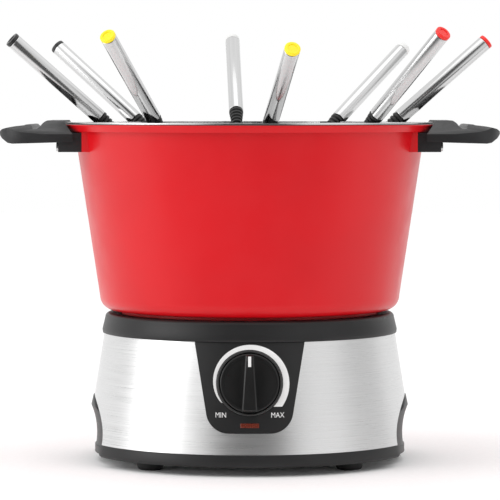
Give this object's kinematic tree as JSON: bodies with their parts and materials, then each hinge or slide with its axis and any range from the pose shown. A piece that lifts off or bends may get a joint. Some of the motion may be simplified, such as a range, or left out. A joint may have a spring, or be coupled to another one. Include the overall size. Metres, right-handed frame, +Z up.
{
  "type": "electric fondue pot set",
  "caption": "Electric fondue pot: a red coated vessel with two side handles stands on a round steel-clad heated base with a dial; coloured-tip forks lean out through a notched rim ring.",
  "frame": {"origin": "on the pot's axis at table level, at the centre under the four feet", "axes": "+Z up along the pot's axis, -Y towards the control panel (front), +X towards the right-hand pot handle"},
  "size_m": [0.29, 0.2849, 0.2534],
  "materials": {
    "black_moulding": "fine satin moulding",
    "gloss_black": "semi-gloss",
    "thermostat_black": "moulded phenolic",
    "rubber": "soft black rubber",
    "brushed_steel": "brushed round the cone",
    "plate_steel": "zinc-plated sheet",
    "screw_steel": "bright steel",
    "red_lens": "translucent red",
    "lamp_glass": "clear with an orange electrode",
    "reflector": "bright pressed aluminium",
    "element_sheath": "oxidised sheath",
    "brass": "plated contact",
    "white_inlay": "white inlay",
    "pot_coating": "red enamel outside, black non-stick inside",
    "ring_steel": "polished stainless",
    "fork_steel": "brushed along the tube",
    "tine_steel": "polished stainless",
    "ferrule_black": "moulded",
    "cap_black": "moulded",
    "cap_yellow": "moulded",
    "cap_white": "moulded",
    "cap_red": "moulded"
  },
  "bodies": {
    "base": {"lower_housing": "black_moulding", "bottom_cover": "plate_steel", "cover_screws": "screw_steel", "rubber_feet": "rubber", "steel_shell": "brushed_steel", "top_collar": "black_moulding", "control_panel": "black_moulding", "dial_bezel": "gloss_black", "indicator_lens": "red_lens", "indicator_lamp": "lamp_glass", "thermostat_body": "thermostat_black", "thermostat_screws": "screw_steel", "reflector_pan": "reflector", "heating_element": "element_sheath", "element_clips": "plate_steel", "sensor_spring": "screw_steel", "power_inlet": "black_moulding", "inlet_pins": "brass"},
    "knob_spindle": {"knob": "gloss_black", "knob_index": "white_inlay", "thermostat_shaft": "screw_steel"},
    "sensor": {"sensor_cup": "reflector"},
    "pot_assembly": {"pot": "pot_coating", "handle_left": "black_moulding", "handle_right": "black_moulding", "handle_screws": "screw_steel"},
    "ring": {"fork_ring": "ring_steel"},
    "fork_1": {"fork_1_tines": "tine_steel", "fork_1_ferrule": "ferrule_black", "fork_1_handle_tube": "fork_steel", "fork_1_cap_black": "cap_black"},
    "fork_2": {"fork_2_tines": "tine_steel", "fork_2_ferrule": "ferrule_black", "fork_2_handle_tube": "fork_steel", "fork_2_cap_black": "cap_black"},
    "fork_3": {"fork_3_tines": "tine_steel", "fork_3_ferrule": "ferrule_black", "fork_3_handle_tube": "fork_steel", "fork_3_cap_yellow": "cap_yellow"},
    "fork_4": {"fork_4_tines": "tine_steel", "fork_4_ferrule": "ferrule_black", "fork_4_handle_tube": "fork_steel", "fork_4_cap_white": "cap_white"},
    "fork_5": {"fork_5_tines": "tine_steel", "fork_5_ferrule": "ferrule_black", "fork_5_handle_tube": "fork_steel", "fork_5_cap_yellow": "cap_yellow"},
    "fork_6": {"fork_6_tines": "tine_steel", "fork_6_ferrule": "ferrule_black", "fork_6_handle_tube": "fork_steel", "fork_6_cap_white": "cap_white"},
    "fork_7": {"fork_7_tines": "tine_steel", "fork_7_ferrule": "ferrule_black", "fork_7_handle_tube": "fork_steel", "fork_7_cap_red": "cap_red"},
    "fork_8": {"fork_8_tines": "tine_steel", "fork_8_ferrule": "ferrule_black", "fork_8_handle_tube": "fork_steel", "fork_8_cap_red": "cap_red"}
  },
  "joints": [
    {"name": "knob_turn", "type": "hinge", "parent": "base", "child": "knob_spindle", "pos_m": [0, -0.08938, 0.0524], "axis": [0, -0.987, 0.1609], "range_deg": [-126, 126]},
    {"name": "sensor_press", "type": "slide", "parent": "base", "child": "sensor", "axis": [0, 0, -1], "range_m": [0, 0.0015], "stiffness_N_per_m": 400, "springref_m": -0.0005, "deforming": ["sensor_spring"]},
    {"name": "pot_lift", "type": "slide", "parent": "base", "child": "pot_assembly", "axis": [0, 0, 1], "range_m": [0, 0.12]},
    {"name": "ring_lift", "type": "slide", "parent": "pot_assembly", "child": "ring", "axis": [0, 0, 1], "range_m": [0, 0.12]},
    {"name": "fork_1_pull", "type": "slide", "parent": "ring", "child": "fork_1", "axis": [-0.7243, -0.2238, 0.6522], "range_m": [0, 0.17]},
    {"name": "fork_2_pull", "type": "slide", "parent": "ring", "child": "fork_2", "axis": [-0.7082, 0.2912, 0.6432], "range_m": [0, 0.17]},
    {"name": "fork_3_pull", "type": "slide", "parent": "ring", "child": "fork_3", "axis": [-0.3424, -0.6755, 0.6531], "range_m": [0, 0.17]},
    {"name": "fork_4_pull", "type": "slide", "parent": "ring", "child": "fork_4", "axis": [-0.0383, 0.7412, 0.6702], "range_m": [0, 0.17]},
    {"name": "fork_5_pull", "type": "slide", "parent": "ring", "child": "fork_5", "axis": [0.1808, -0.7619, 0.622], "range_m": [0, 0.17]},
    {"name": "fork_6_pull", "type": "slide", "parent": "ring", "child": "fork_6", "axis": [0.6109, 0.4605, 0.644], "range_m": [0, 0.17]},
    {"name": "fork_7_pull", "type": "slide", "parent": "ring", "child": "fork_7", "axis": [0.5109, -0.5488, 0.6617], "range_m": [0, 0.17]},
    {"name": "fork_8_pull", "type": "slide", "parent": "ring", "child": "fork_8", "axis": [0.7478, 0.1303, 0.651], "range_m": [0, 0.17]}
  ]
}
